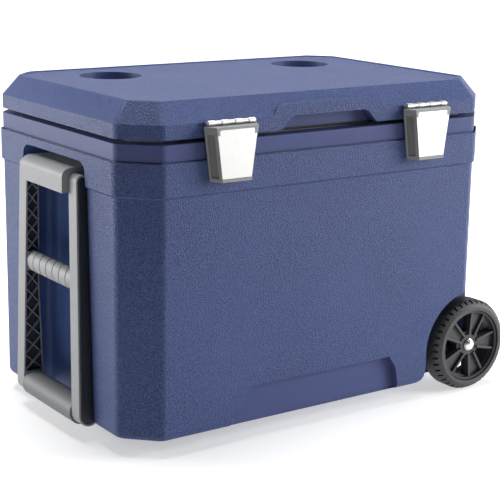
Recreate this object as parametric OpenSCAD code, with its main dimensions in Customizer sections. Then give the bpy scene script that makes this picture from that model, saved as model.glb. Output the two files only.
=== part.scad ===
// Cooler on wheels: a foam-filled tub and lid, a swing-out pull handle on one
// end, two wheels on the other, two latches in front and two hinges behind.
// Millimetres, +Z up, standing on the floor at z = 0. -X is the handle end,
// +X the wheel end, -Y the front with the latches. Every module is written
// about the tub's own centre and put in the common frame by placed().

/* [Tub] */
// Length of the lid and the rim band
body_l = 578; // [500:1:700]
// Width of the lid and the rim band
body_w = 390; // [350:1:480]
// Height of the tub, from its bottom edge to the top of the rim
tub_h = 371; // [330:1:460]
// Height of the tub's bottom edge above the floor
ground_gap = 21; // [14:1:30]
// Flat cut across each upright corner of the tub
corner_cut = 42; // [30:1:55]
// Height of the chamfer round the tub's bottom edge
bottom_chamfer = 10; // [6:1:16]
// How far the collar stands out from the tub
collar_proud = 3; // [1.5:0.5:5]
// Height of the collar
collar_h = 42; // [30:1:55]
// Height of the smooth rim band above the collar
band_h = 22; // [16:1:30]
// Wall of the outer shell and of the rim band
shell_t = 3.5; // [2.5:0.5:4.5]
// Wall of the inner liner
liner_t = 2.5; // [2:0.5:3.5]
// Insulated side wall, from the outside to the cavity
wall_t = 40; // [34:1:50]
// Insulated wall at the handle end, where the handle recess cuts in
end_wall_t = 66; // [58:1:76]
// Insulated floor, from the bottom edge to the cavity
floor_t = 36; // [28:1:48]
// Corner radius of the cavity, seen from above
cavity_r = 25; // [12:1:40]
// Foam thickness kept between a wheel arch and the raised cavity floor
step_foam = 6; // [4:1:12]
// Gap left between the foam and the skins round it
foam_gap = 0.2; // [0.1:0.1:0.4]

/* [Skirt] */
// Depth of the low recess in the front and back faces
skirt_depth = 10; // [6:1:14]
// Height of that recess above the bottom edge
skirt_h = 51; // [40:1:60]
// Half length of the recess along its top
skirt_top_half = 113; // [95:1:120]
// How far its handle-end side leans out at the bottom
skirt_lean_left = 33; // [10:1:36]
// How far its wheel-end side leans out at the bottom
skirt_lean_right = 18; // [10:1:24]

/* [Feet] */
// Diameter of a foot
foot_d = 46; // [34:1:60]
// Distance of the feet from the handle end
foot_from_end = 100; // [80:1:130]
// Distance of the feet from the front and back faces
foot_from_side = 90; // [80:1:110]

/* [Lid] */
// Height of the lid's upright side
lid_side_h = 18; // [14:1:26]
// Height of the sloping shoulder above that side
lid_slope_h = 25.5; // [18:0.5:32]
// How far the shoulder slopes in
lid_slope_in = 21; // [14:1:28]
// Wall of the lid's outer shell
lid_t = 3; // [2:0.5:4]
// Gap between the rim and the lid, filled by the gasket
lid_gap = 5.5; // [3.5:0.5:8]
// Depth that the lid's plug reaches into the cavity
plug_depth = 12; // [8:1:20]
// Clearance round the plug
plug_gap = 4; // [3:0.5:6]
// Width of the gasket
gasket_w = 10; // [6:1:14]
// Diameter of a cup holder
cup_d = 85; // [70:1:95]
// Depth of a cup holder
cup_depth = 18; // [12:1:22]
// Distance of a cup holder's centre from the lid's end
cup_from_end = 130; // [90:1:150]
// Distance of a cup holder's centre from the lid's back face
cup_from_back = 108; // [80:1:120]
// Half length of the finger recess under the lid's front edge
lift_half = 76; // [60:1:85]
// Height of the finger recess
lift_h = 17; // [12:1:20]
// Depth of the finger recess
lift_depth = 16; // [12:1:20]
// Height of the brow over the finger recess, above the upright side
brow_h = 14; // [10:1:18]
// Half length of the brow along its top
brow_half = 66; // [50:1:80]

/* [Back hinges] */
// Distance of a hinge from the tub's end
hinge_from_end = 125; // [90:1:160]
// Width of a hinge
hinge_w = 90; // [70:1:110]
// Thickness of a hinge leaf
leaf_t = 3; // [2:0.5:4]
// Outer radius of the hinge knuckles
knuckle_r = 5; // [4.5:0.5:6]
// Diameter of the hinge pin
hinge_pin_d = 5; // [4:0.5:6]
// Diameter of a screw's shank
screw_d = 4; // [3:0.5:5]
// Diameter of a screw's head
screw_head_d = 8; // [6:0.5:9]
// Length of a screw
screw_len = 14; // [10:1:18]

/* [Latches] */
// Distance of a latch from the middle of the front
latch_x = 155; // [140:1:180]
// Height of the latch frame
latch_h = 67; // [60:1:76]
// Depth of the latch, from the lid's face to its front plate
latch_depth = 20; // [18:0.5:24]
// Width of the latch's back at the top
latch_back_w = 77; // [70:1:84]
// Width of the latch's front at the top
latch_front_w = 61; // [54:1:68]
// How much narrower the latch is at the bottom
latch_taper = 18; // [10:1:22]
// Wall of the latch frame
latch_wall = 3; // [2:0.5:4]
// Thickness of the stainless sheet
sheet_t = 1.2; // [0.8:0.1:1.5]
// Width of the stainless hinge strip
strip_w = 68; // [60:1:70]
// Outer radius of the latch's knuckles
latch_knuckle_r = 3.5; // [3:0.25:4]
// Diameter of the latch's pin
latch_pin_d = 3.2; // [2.5:0.1:4]
// Width of the keeper
keeper_w = 28; // [20:1:34]
// How far the keeper stands out from the collar
keeper_out = 7.5; // [5:0.5:9]

/* [Pull handle] */
// Depth of the recess that the handle lies in
recess_depth = 36; // [30:1:42]
// Half width of that recess at its top
recess_top_half = 84; // [80:1:90]
// Half width of that recess at its bottom
recess_bottom_half = 97; // [94:1:104]
// Distance from the recess's top to the rim's top
recess_from_rim = 33; // [30:1:40]
// Distance of the handle's pivot below the recess's top
pivot_drop = 26; // [22:1:32]
// Distance of the handle's pivot outside the tub's end face
pivot_out = 2.5; // [0:0.5:6]
// Distance of the tow grip's axis above the floor
grip_z = 34; // [30:1:44]
// Diameter of the tow grip
grip_d = 35; // [28:1:38]
// Distance of the middle bar's axis below the pivot
mid_drop = 128; // [110:1:150]
// Height of the middle bar
mid_h = 28; // [22:1:34]
// Thickness of the middle bar
mid_t = 19; // [15:1:22]
// Outer half width of the handle at its pivot
arm_out = 79; // [76:1:80]
// How far each arm leans out, from pivot to grip
arm_lean = 10.5; // [6:0.5:12]
// Thickness of an arm along the pivot's axis
arm_t = 21; // [18:1:24]
// Radius of an arm's top end
arm_top_r = 9; // [8:0.5:11]
// Radius of an arm's bottom end
arm_bottom_r = 15; // [13:0.5:16]
// Wall of an arm's frame
arm_wall = 3; // [2.5:0.5:4]
// Thickness of the lattice ribs in an arm
rib_t = 2.4; // [2:0.2:3]
// Thickness of an arm's side cover
cover_t = 2.5; // [2:0.5:3.5]
// Diameter of the pivot pins and of the rod in the tow grip
pin_d = 8; // [7:0.5:9]

/* [Handle bracket] */
// How far the bracket's hood stands out from the tub's end face
hood_out = 20; // [17:0.5:24]
// Thickness of the hood's front lip
hood_lip = 12; // [9:1:14]
// Thickness of the hood's top
hood_top_t = 6; // [4:0.5:8]
// Height of the hood
hood_h = 31; // [26:1:36]
// Thickness of the plate that the bracket is screwed on by
bracket_plate_t = 4; // [3:0.5:6]
// Thickness of the hood's end cheeks, which hold the pivot pins
cheek_t = 10; // [8:1:14]

/* [Wheels] */
// Radius of a wheel over its tyre
wheel_r = 65; // [58:1:72]
// Width of a wheel
wheel_w = 40; // [32:1:46]
// Distance of the axle from the wheel end's face, inside it
axle_in = 30; // [20:1:40]
// Radius of the wheel arch
arch_r = 79; // [75:1:86]
// How far a wheel stands out from the front or back face
wheel_proud = 7.5; // [4:0.5:10]
// Diameter of the axle
axle_d = 12; // [10:1:14]
// Height of the tyre over its rim
tyre_h = 14; // [10:1:19]
// Radius of the wheel's hub
hub_r = 17; // [14:1:20]
// Thickness of the wheel's spoked disc
disc_t = 10; // [7:1:14]
// Number of spokes
spokes = 5; // [4:1:7]
// Number of tread lugs on each shoulder
lugs = 40; // [24:2:48]
// Depth of the notch between two lugs
lug_depth = 4.5; // [3:0.5:6]
// Diameter of the axle's end cap
cap_d = 17; // [15:0.5:22]
// Thickness of the washer between a wheel and its arch
washer_t = 2; // [1.5:0.5:3]

/* [Drain] */
// Distance of the drain from the raised part of the cavity floor
drain_from_step = 20; // [16:1:30]
// Outer diameter of the drain tube
drain_d = 20; // [16:1:24]
// Diameter of the drain's outer flange
drain_flange_d = 34; // [28:1:36]
// Diameter of the drain plug's stem
drain_stem_d = 13; // [10:1:16]

/* [Hidden] */

$fn = 64;
eps = 0.01;
past = 20;                      // how far a cutter runs past the face it opens
running = 0.08;                 // radial clearance of what turns on a pin
seat_gap = 0.3;                 // clearance between pieces that move past each other
step_clear = 0.5;               // side clearance between hinge knuckles

end_x = body_l / 2;
side_y = body_w / 2;
rim_z = ground_gap + tub_h;
band_z = rim_z - band_h;
collar_z = band_z - collar_h;
lid_z = rim_z + lid_gap;
shoulder_z = lid_z + lid_side_h;
lid_top_z = shoulder_z + lid_slope_h;

// Where the turning parts sit.
wheel_x = end_x - axle_in;
wheel_out_y = side_y + wheel_proud;
arch_y = wheel_out_y - wheel_w - washer_t - seat_gap;
recess_top_z = rim_z - recess_from_rim;
pivot_x = -end_x - pivot_out;
pivot_z = recess_top_z - pivot_drop;
recess_floor_x = -end_x + recess_depth;
arm_len = pivot_z - grip_z;
arm_angle = atan(arm_lean / arm_len);
arm_in = arm_out - arm_t;
hinge_x = end_x - hinge_from_end;
hinge_y = side_y + leaf_t + seat_gap + knuckle_r;
hinge_z = rim_z + lid_gap / 2;
latch_axis_y = -side_y - sheet_t - latch_knuckle_r - seat_gap;
latch_axis_z = shoulder_z - 1;

// The cavity: a full-length upper part over a raised floor that clears the
// wheel arches, and a deeper part between that step and the handle end.
cavity_x0 = -end_x + end_wall_t;
cavity_x1 = end_x - wall_t;
cavity_half = side_y - wall_t;
cavity_z = ground_gap + floor_t;
rim_r = wheel_r - tyre_h;
step_z = wheel_r + arch_r + shell_t + step_foam + liner_t + 2 * foam_gap;
step_x = wheel_x - arch_r - shell_t - step_foam;
drain_x = step_x - drain_from_step;
drain_z = cavity_z + drain_d / 2 + 1;

// The common frame's origin is under the middle of the whole object's box.
reach_left = max(-pivot_x + grip_d / 2, end_x + hood_out);
reach_right = wheel_x + wheel_r;
reach_front = side_y + latch_depth;
reach_back = hinge_y + knuckle_r;
shift_x = (reach_left - reach_right) / 2;
shift_y = (reach_front - reach_back) / 2;

shell_blue = [0.22, 0.27, 0.46];
band_blue = [0.30, 0.32, 0.52];
foam_cream = [0.88, 0.84, 0.66];
liner_white = [0.90, 0.91, 0.92];
light_grey = [0.62, 0.65, 0.66];
mid_grey = [0.48, 0.50, 0.51];
charcoal = [0.16, 0.18, 0.21];
wheel_grey = [0.25, 0.26, 0.27];
black_rubber = [0.08, 0.08, 0.08];
steel = [0.78, 0.79, 0.80];

module placed() translate([shift_x, shift_y, 0]) children();

// ---- outlines and simple solids ----

function inset_cut(cut, t) = max(cut - (2 - sqrt(2)) * t, 1);

// Points along an arc centred at the height y, from angle a0 to a1.
function arc(y, r, a0, a1) = [for (a = [a0:15:a1]) [r * cos(a), y + r * sin(a)]];

// Corners of a rectangle with cut corners, anticlockwise from the front left.
function cut_rect(l, w, c) = [
    [-l / 2 + c, -w / 2], [l / 2 - c, -w / 2], [l / 2, -w / 2 + c], [l / 2, w / 2 - c],
    [l / 2 - c, w / 2], [-l / 2 + c, w / 2], [-l / 2, w / 2 - c], [-l / 2, -w / 2 + c]
];

// An upright prism of the tub's plan, drawn in by t.
module plan_prism(t, z0, z1)
    translate([0, 0, z0])
        linear_extrude(z1 - z0)
            polygon(cut_rect(body_l - 2 * t, body_w - 2 * t, inset_cut(corner_cut, t)));

// A sloping band between two such plans, drawn in by t0 below and t1 above.
module plan_slope(t0, t1, z0, z1) {
    low = cut_rect(body_l - 2 * t0, body_w - 2 * t0, inset_cut(corner_cut, t0));
    high = cut_rect(body_l - 2 * t1, body_w - 2 * t1, inset_cut(corner_cut, t1));
    polyhedron(
        points = concat([for (p = low) [p[0], p[1], z0]], [for (p = high) [p[0], p[1], z1]]),
        faces = concat(
            [[0, 1, 2, 3, 4, 5, 6, 7], [15, 14, 13, 12, 11, 10, 9, 8]],
            [for (i = [0:7]) let (j = (i + 1) % 8) [i, i + 8, j + 8, j]]));
}

module rounded_plan(x0, x1, half, r) {
    translate([x0 + r, -half]) square([x1 - x0 - 2 * r, 2 * half]);
    translate([x0, -half + r]) square([x1 - x0, 2 * half - 2 * r]);
    for (x = [x0 + r, x1 - r], y = [-half + r, half - r])
        translate([x, y]) circle(r = r);
}

module rounded_prism(x0, x1, half, r, z0, z1)
    translate([0, 0, z0])
        linear_extrude(z1 - z0)
            rounded_plan(x0, x1, half, r);

// A rod along Y between two places.
module rod_y(d, x, z, y0, y1)
    translate([x, y0, z])
        rotate([-90, 0, 0])
            cylinder(d = d, h = y1 - y0);

// A rod along X between two places.
module rod_x(d, y, z, x0, x1)
    translate([x0, y, z])
        rotate([0, 90, 0])
            cylinder(d = d, h = x1 - x0);

module block(x0, x1, y0, y1, z0, z1)
    translate([x0, y0, z0])
        cube([x1 - x0, y1 - y0, z1 - z0]);

module mirrored_y() {
    children();
    mirror([0, 1, 0]) children();
}

// ---- tub ----

// The handle's recess in the end face, grown by t for the inside of its walls.
module handle_recess(t) {
    top = recess_top_z + t;
    r = 14 + t;
    half = recess_top_half + t;
    foot = recess_bottom_half + t;
    translate([-end_x - past, 0, 0])
        rotate([90, 0, 90])
            linear_extrude(past + recess_depth + t)
                polygon(concat(
                    [[-foot, -1], [foot, -1]],
                    [for (a = [0:15:90]) [half - r + r * cos(a), top - r + r * sin(a)]],
                    [for (a = [90:15:180]) [-half + r + r * cos(a), top - r + r * sin(a)]]));
}

// The low recess in the front face, and its mirror image behind.
module skirt_recesses(t) {
    top = ground_gap + skirt_h + t;
    knee = ground_gap + skirt_h * 0.65;
    left = skirt_top_half + skirt_lean_left + t;
    right = skirt_top_half + skirt_lean_right + t;
    mirrored_y()
        translate([0, -side_y + skirt_depth + t, 0])
            rotate([90, 0, 0])
                linear_extrude(skirt_depth + t + past)
                    polygon([
                        [-left, -1], [right, -1], [right, ground_gap],
                        [right - skirt_lean_right * 0.35, knee], [skirt_top_half + t, top],
                        [-skirt_top_half - t, top], [-left + skirt_lean_left * 0.65, knee],
                        [-left, ground_gap]
                    ]);
}

// The two wheel arches, open below and through the wheel end.
module wheel_arches(t)
    mirrored_y() {
        rod_y(2 * (arch_r + t), wheel_x, wheel_r, -side_y - past, -arch_y + t);
        block(wheel_x - arch_r - t, end_x + past, -side_y - past, -arch_y + t, -1, wheel_r);
        block(wheel_x, end_x + past, -side_y - past, -arch_y + t,
              -1, wheel_r + sqrt(pow(arch_r + t, 2) - pow(axle_in, 2)));
    }

// The tub's form drawn in by t all over, up to the height top.
module tub_form(t, top)
    difference() {
        union() {
            plan_slope(t + bottom_chamfer, t, ground_gap + t, ground_gap + t + bottom_chamfer);
            plan_prism(t, ground_gap + t + bottom_chamfer, top);
        }
        handle_recess(t);
        skirt_recesses(t);
        wheel_arches(t);
    }

// The cavity's form, grown by t.
module cavity_form(t, top) {
    rounded_prism(cavity_x0 - t, cavity_x1 + t, cavity_half + t, cavity_r + t, step_z - t, top);
    rounded_prism(cavity_x0 - t, step_x + t, cavity_half + t, cavity_r + t, cavity_z - t, top);
}

module drain_hole(d)
    rod_y(d, drain_x, drain_z, cavity_half - past, side_y + past);

module outer_shell()
    placed() color(shell_blue) difference() {
        union() {
            tub_form(0, band_z);
            difference() {
                plan_prism(-collar_proud, collar_z, band_z);
                handle_recess(0);
            }
        }
        tub_form(shell_t, band_z + past);
        rod_y(axle_d + 2 * running, wheel_x, wheel_r, -side_y, side_y);
        drain_hole(drain_d + 2 * seat_gap);
    }

module body_foam()
    placed() color(foam_cream) difference() {
        tub_form(shell_t + foam_gap, rim_z - shell_t - foam_gap);
        cavity_form(liner_t + foam_gap, rim_z + past);
        rod_y(axle_d + 1, wheel_x, wheel_r, -side_y, side_y);
        drain_hole(drain_d + 1);
    }

module inner_liner()
    placed() color(liner_white) difference() {
        union() {
            cavity_form(liner_t, rim_z - eps);
            plan_prism(shell_t, rim_z - shell_t, rim_z);
        }
        cavity_form(0, rim_z + past);
        drain_hole(drain_d + 2 * seat_gap);
    }

module rim_band()
    placed() color(band_blue) difference() {
        plan_prism(0, band_z, rim_z);
        plan_prism(shell_t, band_z - 1, rim_z + 1);
    }

module foot(side)
    placed() color(black_rubber)
        translate([-end_x + foot_from_end, side * (side_y - foot_from_side), 0]) {
            cylinder(d = foot_d, h = ground_gap - 6);
            translate([0, 0, ground_gap - 6]) cylinder(d = foot_d + 8, h = 6);
        }

module foot_front() foot(-1);
module foot_rear() foot(1);

// ---- lid ----

module cup_holes(t)
    for (x = [-1, 1])
        translate([x * (end_x - cup_from_end), side_y - cup_from_back, lid_top_z - cup_depth - t])
            cylinder(d = cup_d + 2 * t, h = cup_depth + t + past);

// The finger recess under the lid's front edge.
module lift_recess(t)
    translate([0, -side_y + lift_depth + t, 0])
        rotate([90, 0, 0])
            linear_extrude(lift_depth + t + past)
                polygon([
                    [-lift_half - t, lid_z - past], [lift_half + t, lid_z - past],
                    [lift_half + t, lid_z], [lift_half - lift_h + t, lid_z + lift_h + t],
                    [-lift_half + lift_h - t, lid_z + lift_h + t], [-lift_half - t, lid_z]
                ]);

// The brow that carries the front face up over the finger recess.
module brow(t) {
    back = lid_slope_in * 0.75;
    translate([0, -side_y + t + back, 0])
        rotate([90, 0, 0])
            linear_extrude(back)
                polygon([
                    [-brow_half - brow_h - 10 + t, shoulder_z - 8], [brow_half + brow_h + 10 - t, shoulder_z - 8],
                    [brow_half + brow_h * 0.8 - t, shoulder_z + brow_h * 0.6 - t],
                    [brow_half - t, shoulder_z + brow_h - t],
                    [-brow_half + t, shoulder_z + brow_h - t],
                    [-brow_half - brow_h * 0.8 + t, shoulder_z + brow_h * 0.6 - t]
                ]);
}

// The lid's form drawn in by t, from the height base.
module lid_form(t, base)
    difference() {
        union() {
            plan_prism(t, base, shoulder_z - t / 2);
            plan_slope(t, lid_slope_in + t / 2, shoulder_z - t / 2, lid_top_z - t);
            brow(t);
        }
        cup_holes(t);
        lift_recess(t);
    }

module lid_shell()
    placed() color(shell_blue) difference() {
        lid_form(0, lid_z);
        lid_form(lid_t, lid_z - past);
    }

module plug_prism(t, z0, z1)
    rounded_prism(cavity_x0 + plug_gap + t, cavity_x1 - plug_gap - t,
                  cavity_half - plug_gap - t, cavity_r - plug_gap, z0, z1);

module lid_liner()
    placed() color(liner_white) difference() {
        union() {
            difference() {
                plan_prism(lid_t + foam_gap, lid_z, lid_z + liner_t);
                lift_recess(lid_t + foam_gap);
            }
            plug_prism(0, rim_z - plug_depth, lid_z + eps);
        }
        plug_prism(liner_t, rim_z - plug_depth + liner_t, lid_z + past);
    }

module lid_foam()
    placed() color(foam_cream) {
        lid_form(lid_t + foam_gap, lid_z + liner_t + foam_gap);
        plug_prism(liner_t + foam_gap, rim_z - plug_depth + liner_t + foam_gap,
                   lid_z + liner_t + 2 * foam_gap);
    }

module lid_gasket()
    placed() color(charcoal) difference() {
        rounded_prism(cavity_x0 - gasket_w - 4, cavity_x1 + gasket_w + 4,
                      cavity_half + gasket_w + 4, cavity_r + gasket_w, rim_z, lid_z);
        rounded_prism(cavity_x0 - 4, cavity_x1 + 4, cavity_half + 4, cavity_r,
                      rim_z - 1, lid_z + 1);
    }

// ---- back hinges ----

leaf_low_z = band_z - 24;
screw_inset = hinge_w / 2 - 12;
middle_half = hinge_w / 5;

module knuckle(x, x0, x1) rod_x(2 * knuckle_r, hinge_y, hinge_z, x + x0, x + x1);

module hinge_screw_holes(x, z, d)
    for (s = [-1, 1])
        rod_y(d, x + s * screw_inset, z, side_y - screw_len, side_y + past);

module hinge_body_leaf(x)
    placed() color(charcoal) {
        plate_y = side_y + collar_proud;
        difference() {
            union() {
                block(x - hinge_w / 2, x + hinge_w / 2, plate_y, plate_y + leaf_t,
                      leaf_low_z, rim_z - 1);
                block(x - hinge_w / 2, x + hinge_w / 2, side_y, plate_y + eps,
                      band_z, rim_z - 1);
                for (s = [-1, 1])
                    block(x + s * (hinge_w / 2 + middle_half + step_clear) / 2
                            - (hinge_w / 2 - middle_half - step_clear) / 2,
                          x + s * (hinge_w / 2 + middle_half + step_clear) / 2
                            + (hinge_w / 2 - middle_half - step_clear) / 2,
                          plate_y, hinge_y + knuckle_r * 0.9, rim_z - 10, hinge_z);
                knuckle(x, -hinge_w / 2, -middle_half - step_clear);
                knuckle(x, middle_half + step_clear, hinge_w / 2);
            }
            block(x - middle_half - step_clear, x + middle_half + step_clear,
                  side_y - 1, hinge_y + past, hinge_z - knuckle_r - 1.5, hinge_z + past);
            rod_x(hinge_pin_d, hinge_y, hinge_z, x - hinge_w, x + hinge_w);
            hinge_screw_holes(x, (leaf_low_z + band_z) / 2, screw_d + 0.4);
            lid_swing_space(x);
        }
    }

// Room for the lid's lower back edge beside the outer knuckles.
module lid_swing_space(x)
    block(x - hinge_w, x + hinge_w, side_y - past, side_y + leaf_t + seat_gap, rim_z - 1, lid_z + past);

module hinge_lid_leaf(x)
    placed() color(charcoal) difference() {
        union() {
            block(x - hinge_w / 2, x + hinge_w / 2, side_y, side_y + leaf_t,
                  lid_z + 1, shoulder_z);
            block(x - middle_half, x + middle_half, side_y, hinge_y,
                  hinge_z + 1, hinge_z + knuckle_r);
            knuckle(x, -middle_half, middle_half);
        }
        rod_x(hinge_pin_d + 2 * running, hinge_y, hinge_z, x - hinge_w, x + hinge_w);
        hinge_screw_holes(x, (lid_z + shoulder_z) / 2 + 1, screw_d + 0.4);
    }

module hinge_pin(x)
    placed() color(steel)
        rod_x(hinge_pin_d, hinge_y, hinge_z, x - hinge_w / 2 - 1.5, x + hinge_w / 2 + 1.5);

module screw_y(x, z, y) {
    rod_y(screw_d, x, z, y - screw_len, y + eps);
    rod_y(screw_head_d, x, z, y, y + 2);
}

module hinge_body_leaf_left() hinge_body_leaf(-hinge_x);
module hinge_body_leaf_right() hinge_body_leaf(hinge_x);
module hinge_lid_leaf_left() hinge_lid_leaf(-hinge_x);
module hinge_lid_leaf_right() hinge_lid_leaf(hinge_x);
module hinge_pin_left() hinge_pin(-hinge_x);
module hinge_pin_right() hinge_pin(hinge_x);

module hinge_body_screws()
    placed() color(steel)
        for (x = [-hinge_x, hinge_x], s = [-1, 1])
            screw_y(x + s * screw_inset, (leaf_low_z + band_z) / 2, side_y + collar_proud + leaf_t);

module hinge_lid_screws()
    placed() color(steel)
        for (x = [-hinge_x, hinge_x], s = [-1, 1])
            screw_y(x + s * screw_inset, (lid_z + shoulder_z) / 2 + 1, side_y + leaf_t);

// ---- latches ----

latch_back_y = -side_y - collar_proud - 0.7;
latch_front_y = -side_y - latch_depth + sheet_t;
latch_top_z = latch_axis_z - latch_knuckle_r;
latch_low_z = latch_top_z - latch_h;
strip_knuckles = 7;

// A tapered block: back and front widths at the top, drawn in by t.
module latch_block(t, y0, y1, z0, z1) {
    function half(w, z) = w / 2 - t - latch_taper / 2 * (latch_top_z - z) / latch_h;
    polyhedron(
        points = [
            [-half(latch_back_w, z0), y0, z0], [half(latch_back_w, z0), y0, z0],
            [half(latch_back_w, z1), y0, z1], [-half(latch_back_w, z1), y0, z1],
            [-half(latch_front_w, z0), y1, z0], [half(latch_front_w, z0), y1, z0],
            [half(latch_front_w, z1), y1, z1], [-half(latch_front_w, z1), y1, z1]
        ],
        faces = [[0, 1, 2, 3], [7, 6, 5, 4], [4, 5, 1, 0], [5, 6, 2, 1], [6, 7, 3, 2], [7, 4, 0, 3]]);
}

// Alternate knuckles along the latch's axis: first is 0 or 1.
module strip_knuckle_row(first) {
    pitch = strip_w / strip_knuckles;
    for (i = [first:2:strip_knuckles - 1])
        rod_x(2 * latch_knuckle_r, latch_axis_y, latch_axis_z,
              -strip_w / 2 + i * pitch + seat_gap / 2, -strip_w / 2 + (i + 1) * pitch - seat_gap / 2);
}

module latch_strip(x)
    placed() color(steel) translate([x, 0, 0]) difference() {
        union() {
            block(-strip_w / 2, strip_w / 2, -side_y - sheet_t, -side_y, lid_z + 1.5, shoulder_z);
            strip_knuckle_row(0);
            for (i = [0:2:strip_knuckles - 1])
                block(-strip_w / 2 + i * strip_w / strip_knuckles + seat_gap / 2,
                      -strip_w / 2 + (i + 1) * strip_w / strip_knuckles - seat_gap / 2,
                      latch_axis_y, -side_y, latch_axis_z - 1, shoulder_z);
        }
        rod_x(latch_pin_d, latch_axis_y, latch_axis_z, -strip_w, strip_w);
    }

module latch_pin(x)
    placed() color(steel)
        rod_x(latch_pin_d, latch_axis_y, latch_axis_z, x - strip_w / 2 - 1, x + strip_w / 2 + 1);

module latch_frame(x)
    placed() color(light_grey) translate([x, 0, 0]) difference() {
        latch_block(0, latch_back_y, latch_front_y, latch_low_z, latch_top_z);
        latch_block(latch_wall, latch_back_y + 1, latch_front_y + latch_wall,
                    latch_low_z + latch_wall, latch_top_z - latch_wall);
        block(-keeper_w / 2 - 2, keeper_w / 2 + 2, latch_keeper_y - 1, latch_back_y + 2,
              latch_low_z - 1, latch_low_z + past);
    }

module latch_plate(x)
    placed() color(steel) translate([x, 0, 0]) difference() {
        union() {
            latch_sheet();
            block(-strip_w / 2 + 6, strip_w / 2 - 6, latch_front_y - sheet_t, latch_axis_y,
                  latch_top_z, latch_top_z + sheet_t);
            strip_knuckle_row(1);
        }
        rod_x(latch_pin_d + 2 * running, latch_axis_y, latch_axis_z, -strip_w, strip_w);
        for (i = [0:2:strip_knuckles - 1])
            block(-strip_w / 2 + i * strip_w / strip_knuckles - seat_gap / 2,
                  -strip_w / 2 + (i + 1) * strip_w / strip_knuckles + seat_gap / 2,
                  latch_axis_y - latch_knuckle_r - seat_gap, -side_y, latch_top_z - 1, latch_top_z + past);
    }

// The flat front of the plate, narrower towards its bottom.
module latch_sheet() {
    top_half = latch_front_w / 2 - 1.5;
    low_half = top_half - latch_taper / 2;
    translate([0, latch_front_y, 0])
        rotate([90, 0, 0])
            linear_extrude(sheet_t)
                polygon([[-low_half, latch_low_z + 4], [low_half, latch_low_z + 4],
                         [top_half, latch_top_z + sheet_t], [-top_half, latch_top_z + sheet_t]]);
}

latch_keeper_y = -side_y - collar_proud - keeper_out;

module latch_keeper(x)
    placed() color(light_grey) {
        block(x - keeper_w / 2, x + keeper_w / 2, -side_y - collar_proud - 4, -side_y - collar_proud,
              latch_low_z + 4, band_z - 2);
        block(x - keeper_w / 2, x + keeper_w / 2, latch_keeper_y + 1, -side_y - collar_proud,
              latch_low_z + 4, latch_low_z + 10);
    }

module latch_strip_left() latch_strip(-latch_x);
module latch_strip_right() latch_strip(latch_x);
module latch_pin_left() latch_pin(-latch_x);
module latch_pin_right() latch_pin(latch_x);
module latch_frame_left() latch_frame(-latch_x);
module latch_frame_right() latch_frame(latch_x);
module latch_plate_left() latch_plate(-latch_x);
module latch_plate_right() latch_plate(latch_x);
module latch_keeper_left() latch_keeper(-latch_x);
module latch_keeper_right() latch_keeper(latch_x);

// ---- handle bracket ----

hood_half = arm_in - 1;
hood_x = -end_x - hood_out;
hood_top_z = recess_top_z - 10;
plate_x = recess_floor_x - bracket_plate_t;
plate_half = recess_top_half - 6;
plate_below = 4;                // distance of the plate's top below the recess's top
bracket_screw_y = 30;
bracket_screw_z = hood_top_z - hood_h / 2;

// The hood's side view: a flat top that rounds over into the front lip.
module hood_side(t) {
    r = 12;
    polygon(concat(
        [[plate_x + eps, hood_top_z - hood_h + 4], [plate_x + eps, hood_top_z - t]],
        [for (a = [90:15:180]) [hood_x + t + r + r * cos(a), hood_top_z - t - r + r * sin(a)]],
        [[hood_x + t, hood_top_z - hood_h], [hood_x + hood_lip, hood_top_z - hood_h],
         [hood_x + hood_lip + 4, hood_top_z - hood_h + 4]]));
}

module handle_bracket()
    placed() color(light_grey) difference() {
        union() {
            block(plate_x, recess_floor_x, -plate_half, plate_half,
                  hood_top_z - hood_h, recess_top_z - plate_below);
            translate([0, hood_half, 0])
                rotate([90, 0, 0])
                    linear_extrude(2 * hood_half)
                        hood_side(0);
        }
        block(hood_x + hood_lip, plate_x, -hood_half + cheek_t, hood_half - cheek_t,
              hood_top_z - hood_h - 1, hood_top_z - hood_top_t);
        for (s = [-1, 1])
            rod_y(pin_d, pivot_x, pivot_z, s > 0 ? hood_half - cheek_t : -hood_half - 1,
                  s > 0 ? hood_half + 1 : -hood_half + cheek_t);
        for (y = [-bracket_screw_y, bracket_screw_y])
            rod_x(screw_d + 0.4, y, bracket_screw_z, plate_x - 1, recess_floor_x + 1);
    }

module bracket_screws()
    placed() color(steel)
        for (y = [-bracket_screw_y, bracket_screw_y]) {
            rod_x(screw_d, y, bracket_screw_z, plate_x - eps, plate_x + screw_len);
            rod_x(screw_head_d, y, bracket_screw_z, plate_x - 2, plate_x);
        }

module pivot_pin(side)
    placed() color(steel) {
        y0 = hood_half - cheek_t;
        y1 = arm_out - cover_t - 1;
        rod_y(pin_d, pivot_x, pivot_z, side > 0 ? y0 : -y1, side > 0 ? y1 : -y0);
    }

module pivot_pin_front() pivot_pin(-1);
module pivot_pin_rear() pivot_pin(1);

// ---- pull handle ----

// An arm's side view from its pivot down to the tow grip, drawn in by t.
module arm_outline(t)
    polygon(concat(
        arc(0, arm_top_r - t, 0, 180),
        arc(-arm_len, arm_bottom_r - t, 180, 360),
        [[arm_top_r - t, -arm_len * 0.55]]));

// Puts an arm's side view at the pivot, leaning out, between two depths
// measured from its inner face.
module on_arm(side, d0, d1)
    translate([pivot_x, 0, pivot_z])
        mirror([0, side > 0 ? 0 : 1, 0])
            translate([0, arm_in, 0])
                rotate([arm_angle, 0, 0])
                    translate([0, d1, 0])
                        rotate([90, 0, 0])
                            linear_extrude(d1 - d0)
                                children();

rib_pitch = 2 * (arm_top_r - arm_wall) + 4;
solid_spans = [[arm_top_r, -arm_top_r - 6], [-mid_drop + mid_h / 2 + 2, -mid_drop - mid_h / 2 - 2],
               [-arm_len + arm_bottom_r + 4, -arm_len - arm_bottom_r]];

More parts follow.
